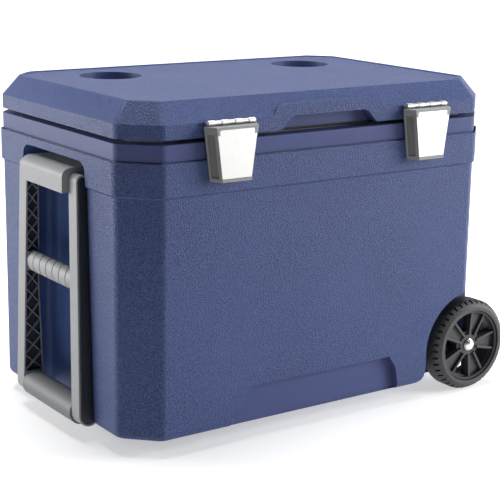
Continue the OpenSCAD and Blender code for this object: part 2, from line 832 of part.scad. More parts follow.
// The crossed ribs between a top and a bottom height.
module lattice(top, bottom) {
    count = ceil((top - bottom) / rib_pitch);
    pitch = (top - bottom) / count;
    reach = arm_bottom_r;
    for (i = [0:count - 1], s = [-1, 1])
        translate([0, top - (i + 0.5) * pitch])
            rotate(s * atan(pitch / (2 * (arm_top_r - arm_wall))))
                square([2 * reach / cos(45), rib_t], center = true);
}

module handle_arm(side)
    placed() color(light_grey) difference() {
        union() {
            difference() {
                on_arm(side, 0, arm_t) arm_outline(0);
                on_arm(side, -1, arm_t + 1) arm_outline(arm_wall);
            }
            on_arm(side, 0, arm_t - cover_t - 0.2) intersection() {
                arm_outline(arm_wall - 0.5);
                union() {
                    for (s = solid_spans)
                        translate([-arm_bottom_r, s[1]]) square([2 * arm_bottom_r, s[0] - s[1]]);
                    lattice(solid_spans[0][1], solid_spans[1][0]);
                    lattice(solid_spans[1][1], solid_spans[2][0]);
                }
            }
        }
        rod_y(pin_d + 2 * running, pivot_x, pivot_z, side > 0 ? 0 : -arm_out + cover_t + 0.5,
              side > 0 ? arm_out - cover_t - 0.5 : 0);
        rod_y(pin_d, pivot_x, grip_z, -grip_rod_half, grip_rod_half);
    }

module arm_cover(side)
    placed() color(charcoal)
        on_arm(side, arm_t - cover_t, arm_t) arm_outline(arm_wall + 0.1);

module handle_arm_front() handle_arm(-1);
module handle_arm_rear() handle_arm(1);
module arm_cover_front() arm_cover(-1);
module arm_cover_rear() arm_cover(1);

// The space taken by the two arms, beyond their inner faces.
module beyond_arms()
    for (side = [-1, 1])
        on_arm(side, 0, 60) translate([-60, -arm_len - 60]) square([120, arm_len + 120]);

grip_rod_half = arm_in + arm_lean + arm_t - cover_t - 3;
groove_w = 2;
mid_segments = 6;

module middle_grip()
    placed() color(light_grey) difference() {
        translate([pivot_x, -arm_out, pivot_z - mid_drop])
            rotate([-90, 0, 0])
                linear_extrude(2 * arm_out) {
                    for (z = [-1, 1]) translate([0, z * (mid_h - mid_t) / 2]) circle(d = mid_t);
                    square([mid_t, mid_h - mid_t], center = true);
                }
        beyond_arms();
        for (i = [1:mid_segments - 1]) {
            y = (i - mid_segments / 2) * 2 * arm_in / mid_segments;
            difference() {
                block(pivot_x - mid_t, pivot_x + mid_t, y - groove_w / 2, y + groove_w / 2,
                      pivot_z - mid_drop - mid_h, pivot_z - mid_drop + mid_h);
                block(pivot_x - mid_t / 2 + 1.5, pivot_x + mid_t / 2 - 1.5, y - groove_w, y + groove_w,
                      pivot_z - mid_drop - mid_h / 2 + 1.5, pivot_z - mid_drop + mid_h / 2 - 1.5);
            }
        }
    }

module tow_grip()
    placed() color(mid_grey) difference() {
        rod_y(grip_d, pivot_x, grip_z, -arm_out - arm_lean, arm_out + arm_lean);
        beyond_arms();
        rod_y(pin_d, pivot_x, grip_z, -2 * arm_out, 2 * arm_out);
    }

module grip_rod()
    placed() color(steel)
        rod_y(pin_d, pivot_x, grip_z, -grip_rod_half, grip_rod_half);

// ---- wheels ----

wheel_in_y = wheel_out_y - wheel_w;
cap_t = 4;
hub_end_y = wheel_out_y - 3;
cap_out = hub_end_y + 0.2 + cap_t;

// Puts a wheel part, drawn along +Z with its outer face at the top, on its side.
module on_wheel(side)
    placed()
        translate([wheel_x, side * wheel_in_y, wheel_r])
            rotate([side > 0 ? -90 : 90, 0, 0])
                children();

module tyre(side)
    color(black_rubber) on_wheel(side) difference() {
        rotate_extrude($fn = 96)
            polygon([
                [rim_r + 0.1, 0], [wheel_r - 9, 0], [wheel_r - 3, 4], [wheel_r, 10],
                [wheel_r, wheel_w - 10], [wheel_r - 3, wheel_w - 4], [wheel_r - 9, wheel_w],
                [rim_r + 0.1, wheel_w]
            ]);
        for (i = [0:lugs - 1])
            rotate(i * 360 / lugs)
                for (z = [-1, wheel_w - 11])
                    translate([wheel_r - lug_depth, -1.6, z]) cube([lug_depth + 2, 3.2, 12]);
    }

module wheel_rim(side)
    color(wheel_grey) on_wheel(side) difference() {
        union() {
            difference() {
                cylinder(r = rim_r, h = wheel_w - 2);
                translate([0, 0, -1]) cylinder(r = rim_r - 4, h = wheel_w);
            }
            translate([0, 0, wheel_w - 4 - disc_t]) cylinder(r = rim_r - 3, h = disc_t);
            cylinder(r = hub_r, h = wheel_w - 3);
        }
        for (i = [0:spokes - 1])
            rotate((i + 0.5) * 360 / spokes)
                linear_extrude(wheel_w)
                    polygon([
                        for (r = [hub_r + 5, rim_r - 7], a = r < rim_r - 7 ? [-14, 14] : [18, 6, -6, -18])
                            [r * cos(a), r * sin(a)]
                    ]);
        translate([0, 0, -1]) cylinder(d = axle_d + 2 * running, h = wheel_w + 2);
    }

module wheel_washer(side)
    color(steel) on_wheel(side)
        translate([0, 0, -seat_gap - washer_t]) difference() {
            cylinder(r = hub_r, h = washer_t);
            translate([0, 0, -1]) cylinder(d = axle_d + 2 * running, h = washer_t + 2);
        }

module axle_cap(side)
    color(steel) placed() {
        y0 = hub_end_y + 0.2;
        rod_y(cap_d, wheel_x, wheel_r, side > 0 ? y0 : -cap_out, side > 0 ? cap_out : -y0);
    }

module axle()
    color(steel) placed()
        rod_y(axle_d, wheel_x, wheel_r, -hub_end_y - 0.2, hub_end_y + 0.2);

module wheel_rim_front() wheel_rim(-1);
module wheel_rim_rear() wheel_rim(1);
module tyre_front() tyre(-1);
module tyre_rear() tyre(1);
module wheel_washer_front() wheel_washer(-1);
module wheel_washer_rear() wheel_washer(1);
module axle_cap_front() axle_cap(-1);
module axle_cap_rear() axle_cap(1);

// ---- drain ----

drain_flange_t = 3;
drain_washer_t = 1.5;

module drain_fitting()
    placed() color(mid_grey) difference() {
        union() {
            rod_y(drain_d, drain_x, drain_z, cavity_half, side_y + drain_washer_t + drain_flange_t);
            rod_y(drain_flange_d, drain_x, drain_z, side_y + drain_washer_t,
                  side_y + drain_washer_t + drain_flange_t);
        }
        rod_y(drain_stem_d + 2 * running, drain_x, drain_z, cavity_half - 1, side_y + past);
    }

module drain_washer()
    placed() color(black_rubber) difference() {
        rod_y(drain_flange_d - 2, drain_x, drain_z, side_y, side_y + drain_washer_t);
        rod_y(drain_d + 0.4, drain_x, drain_z, side_y - 1, side_y + drain_washer_t + 1);
    }

module drain_plug()
    placed() color(charcoal) {
        face = side_y + drain_washer_t + drain_flange_t;
        rod_y(drain_stem_d, drain_x, drain_z, face - 18, face + eps);
        rod_y(drain_flange_d - 8, drain_x, drain_z, face, face + 6);
        block(drain_x - 11, drain_x + 11, face + 5, face + 8, drain_z - 2, drain_z + 2);
    }

outer_shell();
body_foam();
inner_liner();
rim_band();
foot_front();
foot_rear();
lid_shell();
lid_foam();
lid_liner();
lid_gasket();
hinge_body_leaf_left();
hinge_body_leaf_right();
hinge_lid_leaf_left();
hinge_lid_leaf_right();
hinge_pin_left();
hinge_pin_right();
hinge_body_screws();
hinge_lid_screws();
latch_strip_left();
latch_strip_right();
latch_pin_left();
latch_pin_right();
latch_frame_left();
latch_frame_right();
latch_plate_left();
latch_plate_right();
latch_keeper_left();
latch_keeper_right();
handle_bracket();
bracket_screws();
pivot_pin_front();
pivot_pin_rear();
handle_arm_front();
handle_arm_rear();
arm_cover_front();
arm_cover_rear();
middle_grip();
tow_grip();
grip_rod();
axle();
wheel_rim_front();
wheel_rim_rear();
tyre_front();
tyre_rear();
wheel_washer_front();
wheel_washer_rear();
axle_cap_front();
axle_cap_rear();
drain_fitting();
drain_washer();
drain_plug();
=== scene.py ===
import math

import bmesh
import bpy
from mathutils import Matrix, Vector


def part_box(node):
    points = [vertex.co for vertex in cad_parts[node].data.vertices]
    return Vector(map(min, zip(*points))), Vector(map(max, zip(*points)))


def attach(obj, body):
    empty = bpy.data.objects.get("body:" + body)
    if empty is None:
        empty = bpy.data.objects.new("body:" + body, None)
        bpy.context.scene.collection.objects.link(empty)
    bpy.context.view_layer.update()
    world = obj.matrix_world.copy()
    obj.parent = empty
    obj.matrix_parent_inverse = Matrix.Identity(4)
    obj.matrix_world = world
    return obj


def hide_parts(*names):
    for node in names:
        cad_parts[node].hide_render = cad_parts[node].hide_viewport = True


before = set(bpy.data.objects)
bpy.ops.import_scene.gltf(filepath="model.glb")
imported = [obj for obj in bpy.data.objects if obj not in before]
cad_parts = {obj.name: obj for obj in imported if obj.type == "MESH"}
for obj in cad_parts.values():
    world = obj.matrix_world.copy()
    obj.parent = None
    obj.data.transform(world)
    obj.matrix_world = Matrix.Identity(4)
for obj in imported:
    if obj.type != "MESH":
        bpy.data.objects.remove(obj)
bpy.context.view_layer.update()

MM = 0.001
RIGHT_ANGLE = math.pi / 2
NEAR = 0.01 * MM    # places closer than this count as the same
PAST = 10 * MM      # how far a cutter reaches past the face that it cuts
CLEAR = 20 * MM     # how far outside the plan a side cutter starts


# ---------------------------------------------------------------- the frame

def middle(node):
    """The centre of a CAD node's box."""
    low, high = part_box(node)
    return (low + high) / 2


band_low, band_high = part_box("rim_band")
tub_low, tub_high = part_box("outer_shell")
lid_low, lid_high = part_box("lid_shell")
liner_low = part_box("inner_liner")[0]

centre = (band_low + band_high) / 2
half_l = (band_high.x - band_low.x) / 2
half_w = (band_high.y - band_low.y) / 2
corner_cut = 42 * MM
corner_round = 5 * MM
end_x = centre.x - half_l
front_y = centre.y - half_w
floor_gap = tub_low.z
rim_z = band_high.z
band_z = band_low.z
collar_z = band_z - 42 * MM
collar_proud = (tub_high.x - tub_low.x) / 2 - half_l
lid_z = lid_low.z
lid_top = lid_high.z
shoulder_z = lid_z + 18 * MM
slope_in = 21 * MM
wall = 3.5 * MM


# ---------------------------------------------------------------- materials

class Wire:
    """A socket's value. Adding to it or multiplying it adds a Math node."""

    def __init__(self, paint, socket):
        self.paint = paint
        self.socket = socket

    def math(self, operation, other):
        return self.paint.node("ShaderNodeMath", {"operation": operation}, {0: self, 1: other})

    def __add__(self, other):
        return self.math("ADD", other)

    __radd__ = __add__

    def __mul__(self, other):
        return self.math("MULTIPLY", other)

    __rmul__ = __mul__


class Paint:
    """A material whose nodes are added one call at a time."""

    def __init__(self, name, roughness=0.5, metallic=0.0, specular=0.5):
        self.material = bpy.data.materials.new(name)
        self.material.use_nodes = True
        self.tree = self.material.node_tree
        self.tree.nodes.clear()
        output = self.tree.nodes.new("ShaderNodeOutputMaterial")
        self.shader = self.tree.nodes.new("ShaderNodeBsdfPrincipled")
        self.tree.links.new(self.shader.outputs[0], output.inputs[0])
        self.set("Roughness", roughness)
        self.set("Metallic", metallic)
        self.set("Specular IOR Level", specular)

    def feed(self, socket, value):
        if isinstance(value, Wire):
            self.tree.links.new(value.socket, socket)
        else:
            socket.default_value = value

    def set(self, name, value):
        self.feed(self.shader.inputs[name], value)

    def node(self, kind, settings, inputs, output=0):
        made = self.tree.nodes.new(kind)
        for name, value in settings.items():
            if name == "stops":
                for stop, (place, shade) in zip(made.color_ramp.elements, value):
                    stop.position = place
                    stop.color = (shade, shade, shade, 1)
            else:
                setattr(made, name, value)
        for name, value in inputs.items():
            self.feed(made.inputs[name], value)
        return Wire(self, made.outputs[output])

    def place(self, stretch=(1, 1, 1)):
        """Object coordinates, stretched along each axis."""
        spot = self.node("ShaderNodeTexCoord", {}, {}, "Object")
        return self.node("ShaderNodeMapping", {}, {"Vector": spot, "Scale": stretch})

    def noise(self, spot, scale, detail=2.0, roughness=0.5):
        return self.node("ShaderNodeTexNoise", {},
                         {"Vector": spot, "Scale": scale, "Detail": detail, "Roughness": roughness})

    def pebbles(self, spot, scale):
        return self.node("ShaderNodeTexVoronoi", {"feature": "SMOOTH_F1"},
                         {"Vector": spot, "Scale": scale, "Smoothness": 0.6})

    def ramp(self, value, *stops):
        return self.node("ShaderNodeValToRGB", {"stops": stops}, {"Fac": value})

    def blend(self, factor, first, second):
        return self.node("ShaderNodeMix", {"data_type": "RGBA"},
                         {0: factor, 6: (*first, 1), 7: (*second, 1)}, 2)

    def bump(self, height, strength, distance):
        normal = self.node("ShaderNodeBump", {},
                           {"Height": height, "Strength": strength, "Distance": distance})
        self.set("Normal", normal)


def grained_blue():
    """Pebble-grained moulded plastic with slight mottling."""
    paint = Paint("grained_blue_plastic", specular=0.22)
    spot = paint.place()
    grain = paint.pebbles(spot, 680)
    fine = paint.noise(spot, 900, 1.0)
    mottle = paint.noise(spot, 9, 3.0)
    height = grain * 0.8 + fine * 0.35
    shade = paint.ramp(grain * 0.8 + mottle * 0.2, (0.24, 0.0), (0.56, 1.0))
    paint.set("Base Color", paint.blend(shade, (0.008, 0.016, 0.068), (0.046, 0.069, 0.176)))
    paint.set("Roughness", 0.40 + mottle * 0.14)
    paint.bump(height, 1.0, 0.9 * MM)
    return paint.material


def smooth_blue():
    """Satin plastic of the rim band."""
    paint = Paint("satin_blue_plastic", specular=0.18)
    spot = paint.place()
    cloud = paint.noise(spot, 14, 3.0)
    fine = paint.noise(spot, 1500, 1.0)
    paint.set("Base Color", paint.blend(cloud, (0.042, 0.053, 0.138), (0.054, 0.067, 0.168)))
    paint.set("Roughness", 0.46 + fine * 0.1)
    paint.bump(fine, 0.08, 0.1 * MM)
    return paint.material


def deep_blue():
    """Smooth, more saturated plastic inside the moulded recesses."""
    paint = Paint("smooth_recess_blue_plastic", specular=0.4)
    spot = paint.place()
    cloud = paint.noise(spot, 10, 2.0)
    fine = paint.noise(spot, 1200, 1.0)
    paint.set("Base Color", paint.blend(cloud, (0.050, 0.092, 0.250), (0.064, 0.112, 0.300)))
    paint.set("Roughness", 0.42 + fine * 0.1)
    paint.bump(fine, 0.06, 0.1 * MM)
    return paint.material


def moulded(name, dark, light, roughness, grain=1100, strength=0.12):
    """A moulded plastic or rubber: a fine grain and slow colour drift."""
    paint = Paint(name, specular=0.5)
    spot = paint.place()
    drift = paint.noise(spot, 22, 3.0)
    fine = paint.noise(spot, grain, 2.0)
    paint.set("Base Color", paint.blend(drift * 0.7 + fine * 0.3, dark, light))
    paint.set("Roughness", roughness + fine * 0.12)
    paint.bump(fine, strength, 0.15 * MM)
    return paint.material


def brushed(name, dark, light, roughness, stretch):
    """Metal with fine lines along the axis that is stretched least."""
    paint = Paint(name, metallic=1.0)
    lines = paint.noise(paint.place(stretch), 1.0, 3.0, 0.6)
    cloud = paint.noise(paint.place(), 30, 2.0)
    paint.set("Base Color", paint.blend(lines, dark, light))
    paint.set("Roughness", roughness + lines * 0.16 + cloud * 0.06)
    paint.bump(lines, 0.08, 0.05 * MM)
    return paint.material


def foam_cream():
    """Rigid foam with small closed cells."""
    paint = Paint("foam_core", roughness=0.9, specular=0.2)
    spot = paint.place()
    cells = paint.pebbles(spot, 700)
    paint.set("Base Color", paint.blend(cells, (0.72, 0.66, 0.42), (0.86, 0.80, 0.58)))
    paint.bump(cells, 0.4, 0.3 * MM)
    return paint.material


GRAINED = grained_blue()
SATIN = smooth_blue()
RECESS = deep_blue()
FOAM = foam_cream()
WHITE = moulded("white_liner_plastic", (0.74, 0.75, 0.76), (0.82, 0.83, 0.84), 0.28)
LIGHT_GREY = moulded("light_grey_plastic", (0.165, 0.17, 0.175), (0.215, 0.22, 0.225), 0.50)
MID_GREY = moulded("tow_grip_grey", (0.085, 0.091, 0.093), (0.115, 0.122, 0.124), 0.54)
# Charcoal plastic of the hinge leaves and drain plug; on the arm pockets and arm covers it is painted
# shade.
CHARCOAL_AND_PAINTED_SHADE = moulded("charcoal_plastic_and_painted_shade", (0.008, 0.010, 0.015), (0.016, 0.019, 0.026), 0.34)
WHEEL = moulded("wheel_grey_plastic", (0.018, 0.019, 0.022), (0.030, 0.031, 0.034), 0.44)
TREAD = moulded("tyre_tread", (0.026, 0.027, 0.028), (0.045, 0.046, 0.048), 0.55, 800, 0.25)
RUBBER = moulded("soft_black_rubber", (0.016, 0.016, 0.017), (0.028, 0.028, 0.029), 0.62, 900, 0.2)
POCKET = moulded("dark_latch_pocket", (0.095, 0.098, 0.086), (0.135, 0.138, 0.122), 0.45)
STEEL = brushed("brushed_stainless", (0.47, 0.467, 0.455), (0.66, 0.655, 0.64), 0.38, (2500, 2500, 60))
BRIGHT = brushed("plated_steel", (0.80, 0.79, 0.78), (0.92, 0.91, 0.90), 0.10, (900, 60, 900))


# ---------------------------------------------------------------- modelling helpers

def box_between(low, high):
    """A block between two opposite corners."""
    bm = bmesh.new()
    bmesh.ops.create_cube(bm, size=1)
    size = Vector(high) - Vector(low)
    bmesh.ops.scale(bm, vec=size, verts=bm.verts)
    bmesh.ops.translate(bm, vec=Vector(low) + size / 2, verts=bm.verts)
    return bm


def round_edges(bm, edges, width, segments=4):
    bmesh.ops.bevel(bm, geom=list(edges), offset=width, offset_type="OFFSET", segments=segments,
                    profile=0.5, affect="EDGES", material=-1, clamp_overlap=True)


def leaning(edge, axis, least=0.1):
    """Whether an edge has a clear part of its length along an axis."""
    along = edge.verts[1].co - edge.verts[0].co
    return abs(along[axis]) > least * along.length


def edges_along(bm, axis):
    return [e for e in bm.edges if leaning(e, axis, 0.98)]


def edges_at(bm, axis, value):
    return [e for e in bm.edges if all(abs(v.co[axis] - value) < NEAR for v in e.verts)]


def face_at(bm, axis, value):
    return [f for f in bm.faces if all(abs(v.co[axis] - value) < NEAR for v in f.verts)]


def prism(points, across, up, along, start, depth):
    """An outline of (across, up) points made solid along a third axis."""
    bm = bmesh.new()
    corners = []
    for u, v in points:
        spot = [0, 0, 0]
        spot[across], spot[up], spot[along] = u, v, start
        corners.append(bm.verts.new(spot))
    face = bm.faces.new(corners)
    solid = bmesh.ops.extrude_face_region(bm, geom=[face])
    shift = [0, 0, 0]
    shift[along] = depth
    moved = [g for g in solid["geom"] if isinstance(g, bmesh.types.BMVert)]
    bmesh.ops.translate(bm, vec=shift, verts=moved)
    bmesh.ops.recalc_face_normals(bm, faces=bm.faces)
    return bm


def disc_profile(points, steps, place, axis):
    """A solid turned from (radius, height) points about an axis through a place."""
    bm = bmesh.new()
    ring = [bm.verts.new((r, 0, h)) for r, h in points]
    edges = [bm.edges.new(pair) for pair in zip(ring, ring[1:])]
    bmesh.ops.spin(bm, geom=ring + edges, cent=(0, 0, 0), axis=(0, 0, 1), dvec=(0, 0, 0),
                   angle=math.tau, steps=steps, use_merge=True)
    bmesh.ops.remove_doubles(bm, verts=bm.verts, dist=0.001 * MM)
    turn = Vector((0, 0, 1)).rotation_difference(Vector(axis)).to_matrix().to_4x4()
    bmesh.ops.transform(bm, matrix=Matrix.Translation(place) @ turn, verts=bm.verts)
    bmesh.ops.recalc_face_normals(bm, faces=bm.faces)
    return bm


def bare_object(bm, name, *paints):
    """An object made from a bmesh, with its materials in the order that faces count them."""
    mesh = bpy.data.meshes.new(name)
    bm.to_mesh(mesh)
    bm.free()
    for paint in paints:
        mesh.materials.append(paint)
    made = bpy.data.objects.new(name, mesh)
    bpy.context.collection.objects.link(made)
    return made


def settle(piece):
    """Makes a piece's modifiers part of its mesh."""
    graph = bpy.context.evaluated_depsgraph_get()
    mesh = bpy.data.meshes.new_from_object(piece.evaluated_get(graph))
    piece.modifiers.clear()
    piece.data = mesh


def combine(piece, operation, *others, index=0):
    """Cuts other solids out of a piece, or joins them to it, leaving faces with a paint's index."""
    for bm in others:
        for face in bm.faces:
            face.material_index = index
        tool = bare_object(bm, "tool")
        modifier = piece.modifiers.new("combine", "BOOLEAN")
        modifier.operation = operation
        modifier.solver = "EXACT"
        modifier.object = tool
        settle(piece)
        bpy.data.objects.remove(tool)

    def tidy(mesh):
        bmesh.ops.remove_doubles(mesh, verts=mesh.verts, dist=0.02 * MM)
        bmesh.ops.dissolve_limit(mesh, angle_limit=math.radians(0.4), verts=mesh.verts,
                                 edges=mesh.edges, delimit={"MATERIAL"})

    edit(piece, tidy)


def add_shells(piece, *others, index=0):
    """Adds closed shapes to a piece as they are."""
    for bm in others:
        for face in bm.faces:
            face.material_index = index
        shell = bpy.data.meshes.new("shell")
        bm.to_mesh(shell)
        bm.free()
        edit(piece, lambda mesh: mesh.from_mesh(shell))


def soften(piece, width, segments=3, angle=32):
    """Rounds a piece's edges that are sharper than an angle in degrees."""
    modifier = piece.modifiers.new("soften", "BEVEL")
    modifier.width = width
    modifier.segments = segments
    modifier.limit_method = "ANGLE"
    modifier.angle_limit = math.radians(angle)
    modifier.miter_outer = "MITER_ARC"
    settle(piece)


def edit(piece, change):
    """Runs a change on a piece's mesh, opened as a bmesh."""
    bm = bmesh.new()
    bm.from_mesh(piece.data)
    change(bm)
    bm.to_mesh(piece.data)
    bm.free()


def thicken(piece, thickness, offset):
    """Gives an open skin a wall, inwards with offset -1 and outwards with 1."""
    modifier = piece.modifiers.new("wall", "SOLIDIFY")
    modifier.thickness = thickness
    modifier.offset = offset
    modifier.use_even_offset = True
    modifier.thickness_clamp = 1.0
    settle(piece)


def finish_piece(piece, body, nodes, crease=34):
    """Gives a piece its shading and its body, and hides the CAD nodes that it stands for."""
    piece.data.shade_smooth()
    piece.data.set_sharp_from_angle(angle=math.radians(crease))
    even = piece.modifiers.new("even_shading", "WEIGHTED_NORMAL")
    even.keep_sharp = True
    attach(piece, body)
    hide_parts(*nodes)


def wedge(corners):
    """A solid with eight corners: four round one end, then four round the other."""
    bm = bmesh.new()
    verts = [bm.verts.new(spot) for spot in corners]
    sides = [(i, (i + 1) % 4, (i + 1) % 4 + 4, i + 4) for i in range(4)]
    for ring in [(3, 2, 1, 0), (4, 5, 6, 7)] + sides:
        bm.faces.new([verts[i] for i in ring])
    bmesh.ops.recalc_face_normals(bm, faces=bm.faces)
    return bm


def rounded_copy(node, body, paint, width, segments=2, angle=32):
    """A CAD solid again, with its seams merged and its edges rounded."""
    bm = bmesh.new()
    bm.from_mesh(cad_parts[node].data)
    bmesh.ops.remove_doubles(bm, verts=bm.verts, dist=0.002 * MM)
    bmesh.ops.dissolve_limit(bm, angle_limit=math.radians(1), verts=bm.verts, edges=bm.edges)
    piece = bare_object(bm, node + "_finished", paint)
    soften(piece, width, segments, angle)
    finish_piece(piece, body, [node])


# ---------------------------------------------------------------- the tub

def plan_block(grow, low, high):
    """A block of the tub's plan, with its upright corners cut."""
    bm = box_between((centre.x - half_l - grow, centre.y - half_w - grow, low),
                     (centre.x + half_l + grow, centre.y + half_w + grow, high))
    upright = [e for e in bm.edges if leaning(e, 2)]
    cut = corner_cut + (2 - math.sqrt(2)) * grow
    round_edges(bm, upright, cut, 1)
    return bm


def corner_edges(bm):
    """Edges that run down the cut corners, between faces turned apart."""
    found = []
    for edge in bm.edges:
        if len(edge.link_faces) == 2 and leaning(edge, 2):
            first, second = (Vector(f.normal.xy) for f in edge.link_faces)
            if min(first.length, second.length) > 0.1 and first.angle(second) > math.radians(25):
                found.append(edge)
    return found


def handle_recess():
    """The tapered opening in the end that the pull handle folds into."""
    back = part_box("handle_bracket")[1].x
    outside = end_x - CLEAR
    top = band_z - 11 * MM
    half_low, half_high = 97 * MM, 84 * MM
    points = [(centre.y - half_low, 0), (centre.y + half_low, 0),
              (centre.y + half_high, top), (centre.y - half_high, top)]
    bm = prism(points, 1, 2, 0, outside, back - outside)
    round_edges(bm, [e for e in edges_along(bm, 0) if e.verts[0].co.z > top / 2], 14 * MM, 5)
    inner = [e for e in edges_at(bm, 0, back) if max(v.co.z for v in e.verts) > 1 * MM]
    round_edges(bm, inner, 7 * MM, 4)
    return bm


SKIRT_TOP = 51 * MM
SKIRT_HALF = 113 * MM
SKIRT_DEEP = 10 * MM


def skirt_recess(side):
    """The low recess of the front (side -1) or the back (side 1)."""
    low, top, knee = floor_gap, floor_gap + SKIRT_TOP, floor_gap + 33 * MM
    under = low - 9 * MM
    left, right = centre.x - SKIRT_HALF, centre.x + SKIRT_HALF
    points = [(left - 35 * MM, under), (right + 20 * MM, under),
              (right + 18 * MM, low), (right + 12 * MM, knee), (right, top),
              (left, top), (left - 12 * MM, knee), (left - 33 * MM, low)]
    face = centre.y + side * half_w
    bm = prism(points, 0, 2, 1, face + side * PAST, -side * (SKIRT_DEEP + PAST))
    inner = [e for e in edges_at(bm, 1, face - side * SKIRT_DEEP) if max(v.co.z for v in e.verts) > low]
    round_edges(bm, inner, 4 * MM, 3)
    return bm


ARCH_R = 79 * MM
ARCH_FLARE = 22 * MM


def wheel_arch(side, sign):
    """The opening for a wheel: a quarter round at its foot, then an arc over the tyre."""
    hub = middle(f"tyre_{side}")
    start = hub.x - ARCH_R - ARCH_FLARE
    far = hub.x + 2 * ARCH_R
    reach = math.acos((centre.x + half_l - hub.x) / ARCH_R)
    quarter = [RIGHT_ANGLE * i / 6 for i in range(7)]
    arc = [math.pi - (math.pi - reach) * i / 32 for i in range(33)]
    points = [(start + ARCH_FLARE * math.sin(a), floor_gap + ARCH_FLARE - ARCH_FLARE * math.cos(a))
              for a in quarter]
    points += [(hub.x + ARCH_R * math.cos(a), hub.z + ARCH_R * math.sin(a)) for a in arc]
    points += [(far, points[-1][1]), (far, -PAST), (start, -PAST)]
    washer_low, washer_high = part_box(f"wheel_washer_{side}")
    inner_y = washer_high.y if sign < 0 else washer_low.y
    outside = centre.y + sign * (half_w + CLEAR)
    return prism(points, 0, 2, 1, outside, inner_y - outside)


def make_tub():
    """The grained shell: collar, walls, recesses and wheel arches."""
    ledge = 1.2 * MM
    bm = plan_block(collar_proud, collar_z + ledge, band_z)
    bottom = face_at(bm, 2, collar_z + ledge)
    bmesh.ops.inset_region(bm, faces=bottom, thickness=collar_proud, use_even_offset=True)
    bmesh.ops.translate(bm, vec=(0, 0, -2 * ledge), verts=bottom[0].verts)
    lower = bmesh.ops.extrude_face_region(bm, geom=bottom)
    verts = [g for g in lower["geom"] if isinstance(g, bmesh.types.BMVert)]
    bmesh.ops.delete(bm, geom=[f for f in bottom if f.is_valid], context="FACES_ONLY")
    bmesh.ops.translate(bm, vec=(0, 0, floor_gap - verts[0].co.z), verts=verts)
    bmesh.ops.recalc_face_normals(bm, faces=bm.faces)
    round_edges(bm, edges_at(bm, 2, floor_gap), 11 * MM, 5)
    bm.normal_update()
    round_edges(bm, corner_edges(bm), corner_round, 4)
    piece = bare_object(bm, "tub_outer_shell", GRAINED, RECESS, SATIN)
    combine(piece, "DIFFERENCE", handle_recess(), index=1)
    soften(piece, 2 * MM)
    combine(piece, "DIFFERENCE", skirt_recess(-1), skirt_recess(1), index=2)
    soften(piece, 1.6 * MM)
    combine(piece, "DIFFERENCE", wheel_arch("front", -1), wheel_arch("rear", 1), index=2)
    soften(piece, 1.2 * MM)

    def open_top(mesh):
        top = [f for f in mesh.faces if f.normal.z > 0.99 and f.calc_center_median().z > band_z - 0.1 * MM]
        bmesh.ops.delete(mesh, geom=top, context="FACES")

    edit(piece, open_top)
    thicken(piece, wall, -1)
    finish_piece(piece, "tub", ["outer_shell"])


def make_band():
    """The smooth band, over a groove that parts it from the collar."""
    groove, groove_depth, ring_width = 1.0 * MM, 2.0 * MM, 22 * MM
    lip_inset, lip_height = 0.1 * MM, 0.25 * MM
    bm = plan_block(0, band_z + groove, rim_z)
    round_edges(bm, corner_edges(bm), corner_round, 4)
    round_edges(bm, edges_at(bm, 2, band_z + groove) + edges_at(bm, 2, rim_z), 1.2 * MM, 3)
    piece = bare_object(bm, "rim_band_smooth", SATIN, RECESS)
    combine(piece, "UNION", plan_block(-groove_depth, band_z, band_z + 3 * groove), index=1)
    combine(piece, "UNION", plan_block(-lip_inset, band_z, band_z + lip_height), index=1)
    combine(piece, "DIFFERENCE", plan_block(-ring_width, band_z - PAST, rim_z + PAST))
    finish_piece(piece, "tub", ["rim_band"])


def make_liner():
    """The inner bowl, stepped up over the wheels, with a lip under the band."""
    wall_in, handle_in = 40 * MM, 66 * MM
    lip_x0, lip_x1 = 45.5 * MM, 19.5 * MM
    hub = middle("tyre_front")
    x0 = centre.x - half_l + handle_in
    x1 = centre.x + half_l - wall_in
    half = half_w - wall_in
    step_x = hub.x - 88.5 * MM
    step_z = hub.z + 91.4 * MM
    bowl_z = liner_low.z + 2.5 * MM
    above = rim_z + 5 * MM
    upper = box_between((x0, centre.y - half, step_z), (x1, centre.y + half, above))
    lower = box_between((x0, centre.y - half, bowl_z), (step_x, centre.y + half, above))
    for bm in (upper, lower):
        round_edges(bm, [e for e in bm.edges if leaning(e, 2)], 25 * MM, 6)
    piece = bare_object(lower, "white_inner_liner", WHITE)
    combine(piece, "UNION", upper)
    soften(piece, 8 * MM, 4, 40)

    def open_bowl(mesh):
        bmesh.ops.bisect_plane(mesh, geom=mesh.verts[:] + mesh.edges[:] + mesh.faces[:],
                               plane_co=(0, 0, rim_z - 0.3 * MM), plane_no=(0, 0, 1), clear_outer=True)
        rim = [e for e in mesh.edges if e.is_boundary]
        lip = bmesh.ops.extrude_edge_only(mesh, edges=rim)
        verts = [g for g in lip["geom"] if isinstance(g, bmesh.types.BMVert)]
        mid_x = (x0 + x1) / 2
        for vert in verts:
            vert.co.x += lip_x1 if vert.co.x > mid_x else -lip_x0
            vert.co.y += math.copysign(lip_x1, vert.co.y - centre.y)

    edit(piece, open_bowl)
    thicken(piece, 2.4 * MM, 1)
    finish_piece(piece, "tub", ["inner_liner"])


# ---------------------------------------------------------------- the lid

def lift_recess():
    """The finger recess under the lid's front edge."""
    low, top = lid_z, lid_z + 17 * MM
    half_low, half_top, deep = 76 * MM, 59 * MM, 16 * MM
    points = [(centre.x - half_low, low - PAST), (centre.x + half_low, low - PAST),
              (centre.x + half_low, low), (centre.x + half_top, top),
              (centre.x - half_top, top), (centre.x - half_low, low)]
    bm = prism(points, 0, 2, 1, front_y - PAST, PAST + deep)
    round_edges(bm, [e for e in edges_along(bm, 1) if e.verts[0].co.z > low + 1 * MM], 5 * MM, 4)
    return bm


